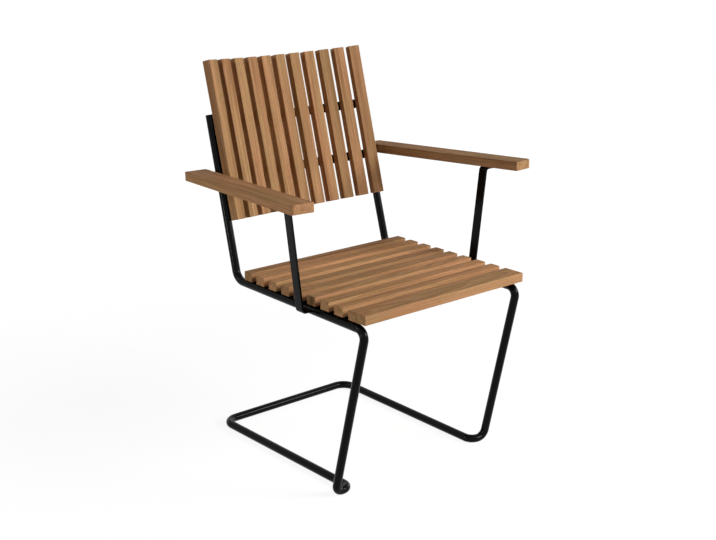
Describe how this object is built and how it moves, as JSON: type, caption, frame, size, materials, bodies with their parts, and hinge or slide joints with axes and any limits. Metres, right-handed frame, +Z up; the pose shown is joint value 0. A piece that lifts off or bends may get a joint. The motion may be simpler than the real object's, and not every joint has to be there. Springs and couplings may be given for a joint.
{
  "type": "slatted cantilever garden armchair",
  "caption": "Upright garden armchair with slatted teak seat, concave slatted back and splayed armrests on a black cantilever frame of bent steel tube.",
  "frame": {"origin": "on the floor, under the middle of the chair's bounding box", "axes": "+Z up, the chair faces -Y, +X towards its right-hand armrest as seen in the picture"},
  "size_m": [0.7104, 0.617, 0.9237],
  "materials": {
    "teak": "satin, lightly oiled",
    "black_steel": "satin black powder coat",
    "black_plastic": "matte",
    "screw_steel": "plain stainless"
  },
  "bodies": {
    "root": {"frame_tube": "black_steel", "upright_cap_left": "black_plastic", "upright_cap_right": "black_plastic", "back_crossbar_lower": "black_steel", "back_crossbar_upper": "black_steel", "back_slat_1": "teak", "back_slat_2": "teak", "back_slat_3": "teak", "back_slat_4": "teak", "back_slat_5": "teak", "back_slat_6": "teak", "back_slat_7": "teak", "back_slat_8": "teak", "back_slat_9": "teak", "back_slat_10": "teak", "back_slat_11": "teak", "seat_slat_1": "teak", "seat_slat_2": "teak", "seat_slat_3": "teak", "seat_slat_4": "teak", "seat_slat_5": "teak", "seat_slat_6": "teak", "seat_slat_7": "teak", "seat_slat_8": "teak", "seat_slat_front": "teak", "seat_strip_left": "black_steel", "seat_strip_right": "black_steel", "armrest_left": "teak", "armrest_right": "teak", "arm_support_left": "black_steel", "arm_support_right": "black_steel", "arm_bracket_left": "black_steel", "arm_bracket_right": "black_steel", "arm_front_screw_left_1": "screw_steel", "arm_front_screw_left_2": "screw_steel", "arm_front_screw_right_1": "screw_steel", "arm_front_screw_right_2": "screw_steel", "arm_rear_screw_left_1": "screw_steel", "arm_rear_screw_left_2": "screw_steel", "arm_rear_screw_right_1": "screw_steel", "arm_rear_screw_right_2": "screw_steel"}
  },
  "joints": []
}
